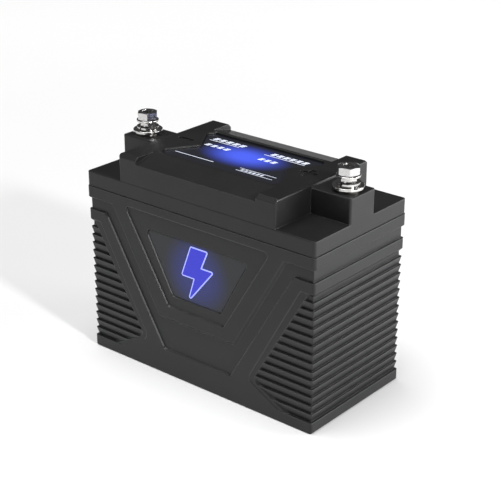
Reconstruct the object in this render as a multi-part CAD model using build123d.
from build123d import *
import math
import os

os.makedirs("parts", exist_ok=True)

# ---------------------------------------------------------------------------------------------
# A small sealed 12 V lithium deep cycle battery. Everything is in millimetres.
# The frame's origin is under the middle of the case, on the surface it stands on.
# +X runs towards the positive terminal, +Y towards the rear face and +Z up.
# ---------------------------------------------------------------------------------------------

# ---- overall size
LENGTH = 150.0            # lid plate along X
WIDTH = 74.2              # lid plate along Y
CORNER_RADIUS = 1.4       # upright corners of the case and the lid
SEAM_Z = 93.9             # where the lid meets the case
LID_Z = 102.1             # top of the lid plate
DECK_Z = 116.8            # top of the raised deck
BLOCK_Z = 115.2           # top of the two terminal blocks

# ---- relief of the case's outside, as steps in or out from the lid plate's outline
FLANGE_STEP = 0.35
FLANGE_LOW = 87.5
BELT_STEP = -1.1          # sunk belt under the flange, and the V channel on the faces
BAND_STEP = 0.0           # band under the belt, and the slanted bands on the faces
BAND_TOP = 80.9
BAND_LOW = 75.2
FIELD_TOP = 73.6          # where the band's lower bevel ends
RIB_STEP = -0.3
GROOVE_STEP = -1.5
RIB_TOP = 70.7
RIB_PITCH = 4.61
RIB_COUNT = 14
FOOT_Z = RIB_TOP - RIB_COUNT * RIB_PITCH
PANEL_BORDER_STEP = -0.6  # sunk border around the emblem panel
PANEL_FLOOR_STEP = -1.6
PANEL_THICKNESS = 0.35
BEVEL_ANGLE = 47.0        # lean of a raised part's sides, from square to the face
POCKET_ANGLE = 28.0       # the same for a hollow's sides
FOOT_CHAMFER = 0.7

# ---- shell
WALL_INSIDE_X = 71.8      # half length of the case's cavity
WALL_INSIDE_Y = 33.9      # half width of the case's cavity
FLOOR_Z = 2.4
CAVITY_RADIUS = 2.5
SEAL_OUT = -0.8
SEAL_IN = -2.0
SEAL_DEPTH = 1.0
LID_PLATE_UNDER = 99.6
LIP_GAP = 0.25
LIP_THICKNESS = 1.6
LIP_LOW = 90.9
LIP_ROOT_Z = 95.4
LID_EDGE_RADIUS = 0.5

# ---- deck
DECK_HALF = 51.5          # half length along X
DECK_SET_BACK = 0.2       # its front and rear walls stand this far in from the lid plate
DECK_CORNER = 1.2
DECK_END_CHAMFER = 2.0
DECK_SIDE_RADIUS = 1.2
DECK_CEILING = 111.2
DECK_WALL = 2.5
RAMP_HALF = 39.5          # the ramps run between the four corner posts
RAMP_EDGE_Z = 113.0
RAMP_END_Y = 22.5
LABEL_DEPTH = 1.6
LABEL_THICKNESS = 0.4
LABEL_GAP = 0.25
LABEL_CORNER = 1.6
LABEL_RIM = 0.4           # bevel round the label's hollow
LABEL_HALF = [(36.0, -21.0), (38.5, -16.5), (28.0, 0.0), (38.5, 16.5), (36.0, 21.0)]
MARK_X = 40.6             # the sunk plus and minus
MARK_Y = 2.2
MARK_LENGTH = 9.6
MARK_WIDTH = 3.2
MARK_DEPTH = 0.9

# ---- terminals
BLOCK_HALF_Y = 9.95
BLOCK_CORNER = 1.2
BLOCK_EDGE = 0.6
TERMINAL_X = 66.1
BOSS_RADIUS = 7.5
BLOCK_WALL = 2.0
INSERT_RADIUS = 5.5
INSERT_TOP = 116.3
INSERT_LOW = 99.0
INSERT_BORE = 3.02        # stands for the M6 thread
INSERT_BORE_LOW = 106.0
SEAT_GAP = 0.05
FLAT_WASHER_RADIUS = 7.9
FLAT_WASHER_THICKNESS = 1.55
SPRING_WASHER_RADIUS = 5.9
SPRING_WASHER_THICKNESS = 1.5
SPRING_WASHER_WIDTH = 2.6
SPACER_ACROSS = 7.4
SPACER_HEIGHT = 2.6
LOAD_WASHER_RADIUS = 5.95
LOAD_WASHER_THICKNESS = 1.1
WASHER_BORE = 3.15
HEAD_ACROSS = 10.0
HEAD_HEIGHT = 4.0
HEAD_GAP = 0.15
BOLT_RADIUS = 2.95
BOLT_END_Z = 107.0
CROSS_LENGTH = 5.4
CROSS_WIDTH = 1.3
CROSS_DEPTH = 1.6
LUG_THICKNESS = 1.2
LUG_RADIUS = 5.4
LUG_HOLE = 2.2
BARREL_RADIUS = 2.9
BARREL_END_Y = 11.0
LUG_SCREW_RADIUS = 2.0
LUG_SCREW_HEAD = 4.2
LUG_SCREW_HEAD_HEIGHT = 2.4
LUG_SCREW_TOP = 104.0

# ---- cell pack
CELL_RADIUS = 13.1
CELL_HEIGHT = 65.0
CELL_PITCH = 27.0
CELL_LOW = 7.0
CELL_CAP_RADIUS = 5.0
CELL_CAP_HEIGHT = 0.8
HOLDER_LENGTH = 118.0
HOLDER_WIDTH = 64.0
HOLDER_HEIGHT = 8.0
HOLDER_GAP = 0.15
STRIP_THICKNESS = 0.3
SHEET_THICKNESS = 0.5
FOAM_X = 59.6
BOARD_LENGTH = 116.0
BOARD_WIDTH = 60.0
BOARD_THICKNESS = 1.6
BOARD_Z = 78.0
POST_X = 54.5
POST_Y = 26.5
POST_RADIUS = 3.0
SCREW_RADIUS = 1.45
SCREW_HEAD_RADIUS = 2.8
LEAD_RADIUS = 2.0
LEAD_Y = 20.0
LEAD_BEND = 7.2
LEAD_START_X = 44.0
WIRE_RADIUS = 0.6
WIRE_BEND = 3.0


# ---------------------------------------------------------------------------------------------
# helpers
# ---------------------------------------------------------------------------------------------
def save(name, *solids):
    """Writes one node: a single solid, or a group of separate ones."""
    shape = solids[0] if len(solids) == 1 else Compound(children=list(solids))
    export_step(shape, f"parts/{name}.step")


def slab(length, width, radius, low, high):
    """An upright prism on a rounded rectangle."""
    return extrude(Plane.XY.offset(low) * RectangleRounded(length, width, radius), high - low)


def footprint(step):
    """The case's outline, stepped in or out all round."""
    return RectangleRounded(LENGTH + 2 * step, WIDTH + 2 * step, max(CORNER_RADIUS + step, 0.3))


def wrap(step, low, high):
    """A slice of the case with upright sides."""
    return extrude(Plane.XY.offset(low) * footprint(step), high - low)


def skirt(low_step, high_step, low, high):
    """A slice of the case with leaning sides."""
    return loft([Plane.XY.offset(low) * footprint(low_step), Plane.XY.offset(high) * footprint(high_step)])


def block(x_low, x_high, y_low, y_high, z_low, z_high):
    """A plain box between two corners."""
    size = (x_high - x_low, y_high - y_low, z_high - z_low)
    return Pos((x_low + x_high) / 2, (y_low + y_high) / 2, (z_low + z_high) / 2) * Box(*size)


def rod(x, y, radius, low, high):
    """An upright cylinder."""
    return Pos(x, y, (low + high) / 2) * Cylinder(radius, high - low)


def tube_ring(x, y, outer, inner, low, high):
    """An upright ring."""
    return rod(x, y, outer, low, high) - rod(x, y, inner, low - 1, high + 1)


def mirrored(half):
    """A closed outline from its right half, given from one end of the centre line to the other."""
    return half + [(-x, z) for x, z in reversed(half)]


def outline(points, radius, above=-math.inf):
    """A face with its corners rounded, but for those at or under a given height."""
    face = make_face(Polyline(*points, close=True))
    return fillet([corner for corner in face.vertices() if corner.Y > above], radius)


def face_plane(side, step):
    """The front (side -1) or rear (side 1) face of the case, with Z as the plane's second axis."""
    return Plane(origin=(0, side * (WIDTH / 2 + step), 0), x_dir=(-side, 0, 0), z_dir=(0, side, 0))


def raised(side, face, low, high):
    """A plateau on a face, with bevelled sides."""
    return extrude(face_plane(side, low) * face, high - low, taper=BEVEL_ANGLE)


def pocket(side, face, floor, mouth):
    """A hollow cut in from a face, wider at its mouth."""
    return extrude(face_plane(side, floor) * face, mouth - floor, taper=-POCKET_ANGLE)


# ---------------------------------------------------------------------------------------------
# outlines of the relief on the two long faces: the right halves, as X and Z
# ---------------------------------------------------------------------------------------------
SHIELD = mirrored([(60.6, 92.0), (58.6, 87.5), (26.2, 32.2)])
CHANNEL = mirrored([(66.5, 84.5), (61.2, 79.2), (22.8, 14.8)])
SLANT_BAND = mirrored([(68.6, 79.0), (68.6, 75.0), (36.2, 17.6), (60.5, 4.6), (60.5, 2.0)])
RIB_MARGIN = mirrored([(71.8, 79.0), (71.8, 73.0), (39.2, 17.9), (63.0, 5.4), (63.0, 2.0)])
PANEL_BORDER = mirrored([(48.2, 88.9), (18.8, 40.9)])
PANEL = mirrored([(34.2, 79.6), (16.2, 47.2)])
EMBLEM_Z = 63.0
EMBLEM_EDGE = 0.6
EMBLEM_THICKNESS = 0.3
BOLT_SIGN = [(-3.2, 14.6), (7.4, 14.6), (3.0, 4.6), (11.0, 4.6), (-5.0, -14.6), (-0.9, -1.8), (-9.4, -1.8)]


# ---------------------------------------------------------------------------------------------
# case
# ---------------------------------------------------------------------------------------------
def rib(index):
    """One saw-tooth rib: a flat ledge on top, leaning in towards the next one below."""
    high = RIB_TOP - index * RIB_PITCH
    return skirt(GROOVE_STEP, RIB_STEP, high - RIB_PITCH, high)


def band():
    """The band under the belt, with a bevel down to the rib field."""
    return wrap(BAND_STEP, BAND_LOW, BAND_TOP) + skirt(GROOVE_STEP, BAND_STEP, FIELD_TOP, BAND_LOW)


def case():
    foot = wrap(BAND_STEP, 0, FOOT_Z)
    foot = chamfer(foot.edges().group_by(Axis.Z)[0], FOOT_CHAMFER)
    flange = wrap(FLANGE_STEP, FLANGE_LOW, SEAM_Z)
    flange = chamfer(flange.edges().group_by(Axis.Z)[0], 0.4)
    body = wrap(GROOVE_STEP, 1, SEAM_Z - 1) + foot + flange
    body += wrap(BELT_STEP, BAND_TOP - 1, FLANGE_LOW + 1) + band()
    for index in range(RIB_COUNT):
        body += rib(index)
    for side in (-1, 1):
        body += raised(side, outline(RIB_MARGIN, 2.5, FOOT_Z), GROOVE_STEP, RIB_STEP)
        body += raised(side, outline(SLANT_BAND, 2.5, FOOT_Z), GROOVE_STEP, BAND_STEP)
        body -= pocket(side, outline(CHANNEL, 2.2), BELT_STEP, 0.4)
        body += raised(side, outline(SHIELD, 2.3), BELT_STEP, FLANGE_STEP)
        body -= pocket(side, outline(PANEL_BORDER, 2.0), PANEL_BORDER_STEP, 0.6)
        body -= pocket(side, outline(PANEL, 2.0), PANEL_FLOOR_STEP, 0.0)
    body -= slab(2 * WALL_INSIDE_X, 2 * WALL_INSIDE_Y, CAVITY_RADIUS, FLOOR_Z, SEAM_Z + 1)
    return body - seal()


def seal():
    """The bead that closes the joint between the case and the lid."""
    low = SEAM_Z - SEAL_DEPTH
    return wrap(SEAL_OUT, low, SEAM_Z) - wrap(SEAL_IN, low - 1, SEAM_Z + 1)


def panel(side):
    """A thin gloss panel at the bottom of the emblem hollow."""
    face = offset(outline(PANEL, 2.0), -0.05)
    return extrude(face_plane(side, PANEL_FLOOR_STEP) * face, PANEL_THICKNESS)


def emblem(side):
    """A lightning bolt standing proud of the panel, and its pale edge, as two solids."""
    level = PANEL_FLOOR_STEP + PANEL_THICKNESS
    sign = outline([(x, z + EMBLEM_Z) for x, z in BOLT_SIGN], 0.4)
    inner = extrude(face_plane(side, level) * sign, EMBLEM_THICKNESS)
    outer = extrude(face_plane(side, level) * offset(sign, EMBLEM_EDGE), EMBLEM_THICKNESS)
    return inner, outer - inner


# ---------------------------------------------------------------------------------------------
# lid
# ---------------------------------------------------------------------------------------------
def ramp(side):
    """The wedge removed between two corner posts, from the deck's middle out to its wall."""
    slope = (DECK_Z - RAMP_EDGE_Z) / (WIDTH / 2 - RAMP_END_Y)
    reach = 5.0
    low_y = WIDTH / 2 + reach
    low_z = RAMP_EDGE_Z - slope * reach
    top_z = DECK_Z + 5.0
    points = [(side * RAMP_END_Y, DECK_Z), (side * low_y, low_z), (side * low_y, top_z)]
    points.append((side * RAMP_END_Y, top_z))
    wedge = make_face(Plane.YZ * Polyline(*points, close=True))
    return extrude(wedge, RAMP_HALF, both=True)


def terminal_block(side):
    x_low, x_high = DECK_HALF - 3, LENGTH / 2
    solid = slab(x_high - x_low, 2 * BLOCK_HALF_Y, BLOCK_CORNER, LID_PLATE_UNDER, BLOCK_Z)
    solid = fillet(solid.edges().group_by(Axis.Z)[-1], BLOCK_EDGE)
    return Pos(side * (x_low + x_high) / 2, 0, 0) * solid


def block_core(side):
    """The hollow under a terminal block, round the boss that holds the insert."""
    x_low = DECK_HALF + BLOCK_WALL
    x_high = LENGTH / 2 - BLOCK_WALL
    y = BLOCK_HALF_Y - BLOCK_WALL
    low, high = LID_PLATE_UNDER - 1, BLOCK_Z - 2.5
    inner, outer = sorted((side * x_low, side * x_high))
    core = block(inner, outer, -y, y, low, high)
    return core - rod(side * TERMINAL_X, 0, BOSS_RADIUS, low - 1, high + 1)


def mark(side):
    """A sunk plus on the positive side, or a minus on the negative one."""
    face = Rectangle(MARK_LENGTH, MARK_WIDTH)
    if side > 0:
        face += Rectangle(MARK_WIDTH, MARK_LENGTH)
    face = fillet(face.vertices(), 0.4)
    return extrude(Plane(origin=(side * MARK_X, MARK_Y, DECK_Z - MARK_DEPTH)) * face, MARK_DEPTH + 1)


def label_outline():
    return outline(mirrored(LABEL_HALF), LABEL_CORNER)


def label_hollow():
    well = extrude(Plane.XY.offset(DECK_Z - LABEL_DEPTH) * label_outline(), LABEL_DEPTH)
    return well + extrude(Plane.XY.offset(DECK_Z - LABEL_RIM) * label_outline(), 1.0, taper=-45)


def label():
    low = DECK_Z - LABEL_DEPTH
    return extrude(Plane.XY.offset(low) * offset(label_outline(), -LABEL_GAP), LABEL_THICKNESS)


def deck():
    """The raised middle of the lid: rounded at its ends, bevelled front and rear, with two ramps."""
    low, half_y = LID_Z - 1.2, WIDTH / 2 - DECK_SET_BACK
    solid = slab(2 * DECK_HALF, 2 * half_y, DECK_CORNER, low, DECK_Z)
    side_view = Pos(0, DECK_Z - 20) * RectangleRounded(2 * DECK_HALF, 40, DECK_SIDE_RADIUS)
    solid &= extrude(Plane.XZ * side_view, half_y, both=True)
    bevel = half_y - DECK_END_CHAMFER
    end_view = mirrored([(half_y, low), (half_y, DECK_Z - DECK_END_CHAMFER), (bevel, DECK_Z)])
    solid &= extrude(Plane.YZ * make_face(Polyline(*end_view, close=True)), DECK_HALF, both=True)
    return solid - ramp(-1) - ramp(1)


def lip():
    """The tongue that drops inside the case's rim."""
    outer_x, outer_y = 2 * (WALL_INSIDE_X - LIP_GAP), 2 * (WALL_INSIDE_Y - LIP_GAP)
    ring = slab(outer_x, outer_y, CAVITY_RADIUS, LIP_LOW, LIP_ROOT_Z)
    ring += wrap(-2.5, SEAM_Z, LIP_ROOT_Z)
    inside = slab(outer_x - 2 * LIP_THICKNESS, outer_y - 2 * LIP_THICKNESS, 1.5, LIP_LOW - 1, LIP_ROOT_Z + 1)
    return ring - inside


def lid():
    plate = wrap(0, SEAM_Z, LID_Z)
    plate = fillet(plate.edges().group_by(Axis.Z)[-1], LID_EDGE_RADIUS)
    plate = chamfer(plate.edges().group_by(Axis.Z)[0], 0.3)
    plate -= slab(2 * WALL_INSIDE_X, 2 * WALL_INSIDE_Y, CAVITY_RADIUS, SEAM_Z - 1, LID_PLATE_UNDER)
    body = plate + deck()
    for side in (-1, 1):
        body += terminal_block(side)
    half_x, half_y = DECK_HALF - DECK_WALL, WIDTH / 2 - DECK_WALL - DECK_SET_BACK
    body -= slab(2 * half_x, 2 * half_y, 2.0, LID_PLATE_UNDER - 1, DECK_CEILING)
    for side in (-1, 1):
        body -= block_core(side)
        body -= rod(side * TERMINAL_X, 0, INSERT_RADIUS, LID_PLATE_UNDER - 1, INSERT_TOP)
        body -= mark(side)
    return body - label_hollow() + lip()


# ---------------------------------------------------------------------------------------------
# terminals
# ---------------------------------------------------------------------------------------------
def hexagon(x, across, low, high):
    face = RegularPolygon(across / 2, 6, major_radius=False)
    return extrude(Plane(origin=(x, 0, low)) * Rot(0, 0, 12) * face, high - low)


def crowned(solid, x, across, low, high):
    """Rounds a hexagon's corners off at both ends, as a turned chamfer does."""
    corner = across / math.sqrt(3) + 1
    flat = across / 2 - 0.15
    cut = 0.75
    profile = [(0, low), (flat, low), (corner, low + cut), (corner, high - cut), (flat, high), (0, high)]
    turned = revolve(make_face(Plane.XZ * Polyline(*profile, close=True)), Axis.Z)
    return solid & (Pos(x, 0, 0) * turned)


def insert(x):
    solid = rod(x, 0, INSERT_RADIUS, INSERT_LOW, INSERT_TOP)
    solid -= rod(x, 0, INSERT_BORE, INSERT_BORE_LOW, INSERT_TOP + 1)
    return solid - rod(x, 0, LUG_SCREW_RADIUS + 0.05, INSERT_LOW - 1, LUG_SCREW_TOP + 0.5)


def flat_washer(x, low):
    ring = tube_ring(x, 0, FLAT_WASHER_RADIUS, WASHER_BORE, low, low + FLAT_WASHER_THICKNESS)
    rims = ring.edges().filter_by(GeomType.CIRCLE).sort_by(SortBy.RADIUS)[-2:]
    return fillet(rims, 0.35)


def spring_washer(x, low):
    """A split ring; the slot through it is cut on the slant."""
    ring = tube_ring(x, 0, SPRING_WASHER_RADIUS, SPRING_WASHER_RADIUS - SPRING_WASHER_WIDTH, low,
                     low + SPRING_WASHER_THICKNESS)
    slot = Pos(x, -SPRING_WASHER_RADIUS + 1, low + SPRING_WASHER_THICKNESS / 2) * Rot(0, 30, 0)
    return ring - slot * Box(0.8, 5, 6)


def spacer(x, low):
    high = low + SPACER_HEIGHT
    solid = crowned(hexagon(x, SPACER_ACROSS, low, high), x, SPACER_ACROSS, low, high)
    return solid - rod(x, 0, WASHER_BORE, low - 1, high + 1)


def load_washer(x, low):
    ring = tube_ring(x, 0, LOAD_WASHER_RADIUS, WASHER_BORE, low, low + LOAD_WASHER_THICKNESS)
    rims = ring.edges().filter_by(GeomType.CIRCLE).sort_by(SortBy.RADIUS)[-2:]
    return fillet(rims, 0.3)


def bolt(x, low):
    """Hexagon head with a cross recess in its dished top, and a plain shank for the thread."""
    high = low + HEAD_HEIGHT
    head = crowned(hexagon(x, HEAD_ACROSS, low, high), x, HEAD_ACROSS, low, high)
    head -= rod(x, 0, 3.6, high - 0.35, high + 1)
    cross = Box(CROSS_LENGTH, CROSS_WIDTH, 2 * CROSS_DEPTH) + Box(CROSS_WIDTH, CROSS_LENGTH, 2 * CROSS_DEPTH)
    head -= Pos(x, 0, high) * Rot(0, 0, 25) * cross
    shank = rod(x, 0, BOLT_RADIUS, BOLT_END_Z, low + 0.5)
    shank = chamfer(shank.edges().group_by(Axis.Z)[0], 0.5)
    return head + shank


def lug(x):
    """A ring lug under the insert, with its crimp barrel pointing to the rear."""
    low = INSERT_LOW - LUG_THICKNESS
    z = INSERT_LOW - BARREL_RADIUS
    ring = rod(x, 0, LUG_RADIUS, low, INSERT_LOW)
    ring += block(x - 2.6, x + 2.6, 0, 7.0, low, INSERT_LOW)
    barrel = Pos(x, (6.0 + BARREL_END_Y) / 2, z) * Rot(90, 0, 0) * Cylinder(BARREL_RADIUS, BARREL_END_Y - 6.0)
    return ring + barrel - rod(x, 0, LUG_HOLE, low - 1, INSERT_LOW + 1)


def lug_screw(x):
    under = INSERT_LOW - LUG_THICKNESS
    head = rod(x, 0, LUG_SCREW_HEAD, under - LUG_SCREW_HEAD_HEIGHT, under)
    head = fillet(head.edges().group_by(Axis.Z)[0], 0.8)
    head -= rod(x, 0, 1.6, under - LUG_SCREW_HEAD_HEIGHT - 1, under - 0.9)
    return head + rod(x, 0, LUG_SCREW_RADIUS, under - 0.5, LUG_SCREW_TOP)


# ---------------------------------------------------------------------------------------------
# cell pack
# ---------------------------------------------------------------------------------------------
CELL_TOP = CELL_LOW + CELL_HEIGHT
CELL_COLUMNS = [(i - 1.5) * CELL_PITCH for i in range(4)]
CELL_ROWS = [-CELL_PITCH / 2, CELL_PITCH / 2]


def cell(x, y, cap_up):
    """A round cell with the crimp groove and raised cap at its positive end."""
    shoulder = CELL_HEIGHT - CELL_CAP_HEIGHT
    profile = [(0, 0), (CELL_RADIUS - 0.6, 0), (CELL_RADIUS, 0.6), (CELL_RADIUS, shoulder - 4.5)]
    profile += [(CELL_RADIUS - 0.6, shoulder - 3.9), (CELL_RADIUS - 0.6, shoulder - 3.1)]
    profile += [(CELL_RADIUS, shoulder - 2.5), (CELL_RADIUS, shoulder - 0.5), (CELL_RADIUS - 0.5, shoulder)]
    profile += [(CELL_CAP_RADIUS, shoulder), (CELL_CAP_RADIUS, CELL_HEIGHT), (0, CELL_HEIGHT)]
    solid = revolve(make_face(Plane.XZ * Polyline(*profile, close=True)), Axis.Z)
    if not cap_up:
        solid = Pos(0, 0, CELL_HEIGHT) * Rot(180, 0, 0) * solid
    return Pos(x, y, CELL_LOW) * solid


def holder(low):
    """A moulded tray with a seat for each cell."""
    body = slab(HOLDER_LENGTH, HOLDER_WIDTH, 3.0, low, low + HOLDER_HEIGHT)
    for x in CELL_COLUMNS:
        for y in CELL_ROWS:
            body -= rod(x, y, CELL_RADIUS + HOLDER_GAP, low - 1, low + HOLDER_HEIGHT + 1)
    for x in CELL_COLUMNS[:-1]:
        body -= rod(x + CELL_PITCH / 2, 0, 4.0, low - 1, low + HOLDER_HEIGHT + 1)
    return body


def upper_holder():
    """The upper tray also carries the four posts for the circuit board."""
    body = holder(CELL_TOP - HOLDER_HEIGHT)
    for x in (-POST_X, POST_X):
        for y in (-POST_Y, POST_Y):
            body += rod(x, y, POST_RADIUS, CELL_TOP - 1, BOARD_Z)
            body -= rod(x, y, SCREW_RADIUS + 0.05, CELL_TOP - 2, BOARD_Z + 1)
    return body


def strip(x_low, x_high, low, tab_x, tab_y):
    """A nickel strip over one or two pairs of cells, with a tab for a sense wire."""
    plate = block(x_low, x_high, -20.0, 20.0, low, low + STRIP_THICKNESS)
    plate += block(tab_x - 2.5, tab_x + 2.5, 19.0, tab_y, low, low + STRIP_THICKNESS)
    for x in CELL_COLUMNS:
        if x_low < x < x_high:
            for y in CELL_ROWS:
                plate -= block(x - 0.5, x + 0.5, y - 4.0, y + 4.0, low - 1, low + 1)
    return plate


# ---------------------------------------------------------------------------------------------
# management board, leads and packing
# ---------------------------------------------------------------------------------------------
BOARD_TOP = BOARD_Z + BOARD_THICKNESS
LEAD_END_Z = INSERT_LOW - BARREL_RADIUS
CONNECTOR_Y = (17.0, 24.0)
CONNECTOR_HEIGHT = 6.0
WIRE_Z = BOARD_TOP + 3.2
TOP_TAB_Y = 32.0
BOTTOM_TAB_Y = 33.6


def board():
    body = slab(BOARD_LENGTH, BOARD_WIDTH, 3.0, BOARD_Z, BOARD_TOP)
    for x in (-POST_X, POST_X):
        for y in (-POST_Y, POST_Y):
            body -= rod(x, y, SCREW_RADIUS + 0.15, BOARD_Z - 1, BOARD_TOP + 1)
    return body


def board_screws():
    screws = []
    for x in (-POST_X, POST_X):
        for y in (-POST_Y, POST_Y):
            head = rod(x, y, SCREW_HEAD_RADIUS, BOARD_TOP, BOARD_TOP + 1.9)
            head = fillet(head.edges().group_by(Axis.Z)[-1], 0.7)
            head -= block(x - 1.8, x + 1.8, y - 0.35, y + 0.35, BOARD_TOP + 1.1, BOARD_TOP + 3)
            screws.append(head + rod(x, y, SCREW_RADIUS, CELL_TOP, BOARD_TOP + 0.5))
    return screws


def transistors():
    """The row of switching transistors that the heat sink lies on."""
    row = []
    for i in range(8):
        x = (i - 3.5) * 11.0
        row.append(block(x - 4.5, x + 4.5, -20.0, -10.0, BOARD_TOP, BOARD_TOP + 2.3))
    return row


def heat_sink():
    low = BOARD_TOP + 2.3
    body = block(-46.0, 46.0, -22.0, -8.0, low, low + 1.6)
    for i in range(6):
        y = -21.5 + i * 2.6
        body += block(-46.0, 46.0, y - 0.5, y + 0.5, low + 1.0, low + 4.6)
    return body


def connector():
    """The socket that the five sense wires plug into."""
    y_low, y_high = CONNECTOR_Y
    body = block(-8.0, 8.0, y_low, y_high, BOARD_TOP, BOARD_TOP + CONNECTOR_HEIGHT)
    return body - block(-6.8, 6.8, y_low - 1, y_low + 2, BOARD_TOP + 1.2, BOARD_TOP + CONNECTOR_HEIGHT - 1.2)


def tube_along(points, radius, bend):
    """A round wire along straight runs joined by arcs."""
    path = FilletPolyline(*points, radius=bend)
    start = Plane(origin=path @ 0, z_dir=path % 0)
    return sweep(start * Circle(radius), path)


def sense_wires():
    """Five thin wires from the connector to the strips; the two long ones run down the rear wall."""
    wires = []
    y0 = CONNECTOR_Y[1]
    near_y = 30.95
    far_y = 32.95
    strip_top = CELL_TOP + STRIP_THICKNESS
    for side in (-1, 1):
        x0, x1 = side * 5.0, side * 1.5 * CELL_PITCH
        points = [(x0, y0, WIRE_Z), (x0, near_y, WIRE_Z), (x1, near_y, WIRE_Z), (x1, near_y, strip_top)]
        wires.append(tube_along(points, WIRE_RADIUS, WIRE_BEND))
        x0, x1 = side * 2.5, side * CELL_PITCH
        points = [(x0, y0, WIRE_Z), (x0, far_y, WIRE_Z), (x1, far_y, WIRE_Z), (x1, far_y, CELL_LOW)]
        wires.append(tube_along(points, WIRE_RADIUS, WIRE_BEND))
    points = [(0, y0, WIRE_Z), (0, near_y, WIRE_Z), (0, near_y, strip_top)]
    wires.append(tube_along(points, WIRE_RADIUS, WIRE_BEND))
    return wires


def lead(side):
    """A thick lead: from the positive strip, or from the board's output pad, up to a terminal lug."""
    start_z = (CELL_TOP + STRIP_THICKNESS if side > 0 else BOARD_TOP) + LEAD_RADIUS
    x = side * TERMINAL_X
    points = [(side * LEAD_START_X, LEAD_Y, start_z), (x, LEAD_Y, start_z), (x, LEAD_Y, LEAD_END_Z)]
    points.append((x, BARREL_END_Y, LEAD_END_Z))
    return tube_along(points, LEAD_RADIUS, LEAD_BEND)


def top_sheet():
    low = CELL_TOP + STRIP_THICKNESS
    sheet = block(-51.0, 51.0, -29.0, 29.0, low, low + SHEET_THICKNESS)
    sheet -= block(LEAD_START_X - 4.0, 52.0, LEAD_Y - 3.5, LEAD_Y + 3.5, low - 1, low + 2)
    return sheet - rod(-46.0, 0, 4.2, low - 1, low + 2)


# ---------------------------------------------------------------------------------------------
# write every node
# ---------------------------------------------------------------------------------------------
save("case", case())
save("lid", lid())
save("lid_seal", seal())
save("top_label", label())
for side_name, side in (("front", -1), ("rear", 1)):
    save(f"{side_name}_panel", panel(side))
    bolt_sign, bolt_edge = emblem(side)
    save(f"{side_name}_emblem", bolt_sign)
    save(f"{side_name}_emblem_edge", bolt_edge)

for pole, side in (("positive", 1), ("negative", -1)):
    x = side * TERMINAL_X
    save(f"{pole}_insert", insert(x))
    z = INSERT_TOP + SEAT_GAP
    save(f"{pole}_flat_washer", flat_washer(x, z))
    z += FLAT_WASHER_THICKNESS
    save(f"{pole}_spring_washer", spring_washer(x, z))
    z += SPRING_WASHER_THICKNESS
    save(f"{pole}_spacer", spacer(x, z))
    z += SPACER_HEIGHT
    save(f"{pole}_load_washer", load_washer(x, z))
    z += LOAD_WASHER_THICKNESS + HEAD_GAP
    save(f"{pole}_bolt", bolt(x, z))
    save(f"{pole}_lug", lug(x))
    save(f"{pole}_lug_screw", lug_screw(x))
    save(f"{pole}_lead", lead(side))

number = 0
for column, x in enumerate(CELL_COLUMNS):
    for y in CELL_ROWS:
        number += 1
        save(f"cell_{number}", cell(x, y, column % 2 == 1))

save("lower_cell_holder", holder(CELL_LOW))
save("upper_cell_holder", upper_holder())
strip_low = CELL_LOW - STRIP_THICKNESS
half = CELL_PITCH / 2
save("positive_strip", strip(33.0, 50.0, CELL_TOP, 1.5 * CELL_PITCH, TOP_TAB_Y) +
     block(40.0, 50.0, 19.0, 22.5, CELL_TOP, CELL_TOP + STRIP_THICKNESS))
save("middle_strip", strip(-half - 8, half + 8, CELL_TOP, 0, TOP_TAB_Y))
save("negative_strip", strip(-50.0, -33.0, CELL_TOP, -1.5 * CELL_PITCH, TOP_TAB_Y))
save("lower_strip_left", strip(-49.0, -5.5, strip_low, -CELL_PITCH, BOTTOM_TAB_Y))
save("lower_strip_right", strip(5.5, 49.0, strip_low, CELL_PITCH, BOTTOM_TAB_Y))
save("top_insulator", top_sheet())
save("bottom_insulator", block(-57.0, 57.0, -31.0, 31.0, strip_low - SHEET_THICKNESS, strip_low))
save("bottom_pad", block(-66.0, 66.0, -31.0, 31.0, FLOOR_Z, strip_low - SHEET_THICKNESS))
save("left_pad", block(-WALL_INSIDE_X, -FOAM_X, -28.0, 28.0, 12.0, 64.0))
save("right_pad", block(FOAM_X, WALL_INSIDE_X, -28.0, 28.0, 12.0, 64.0))
save("circuit_board", board())
save("board_screws", *board_screws())
save("transistors", *transistors())
save("heat_sink", heat_sink())
save("sense_connector", connector())
save("sense_wires", *sense_wires())
save("board_negative_post", rod(-46.0, 0, 3.5, CELL_TOP + STRIP_THICKNESS, BOARD_Z))
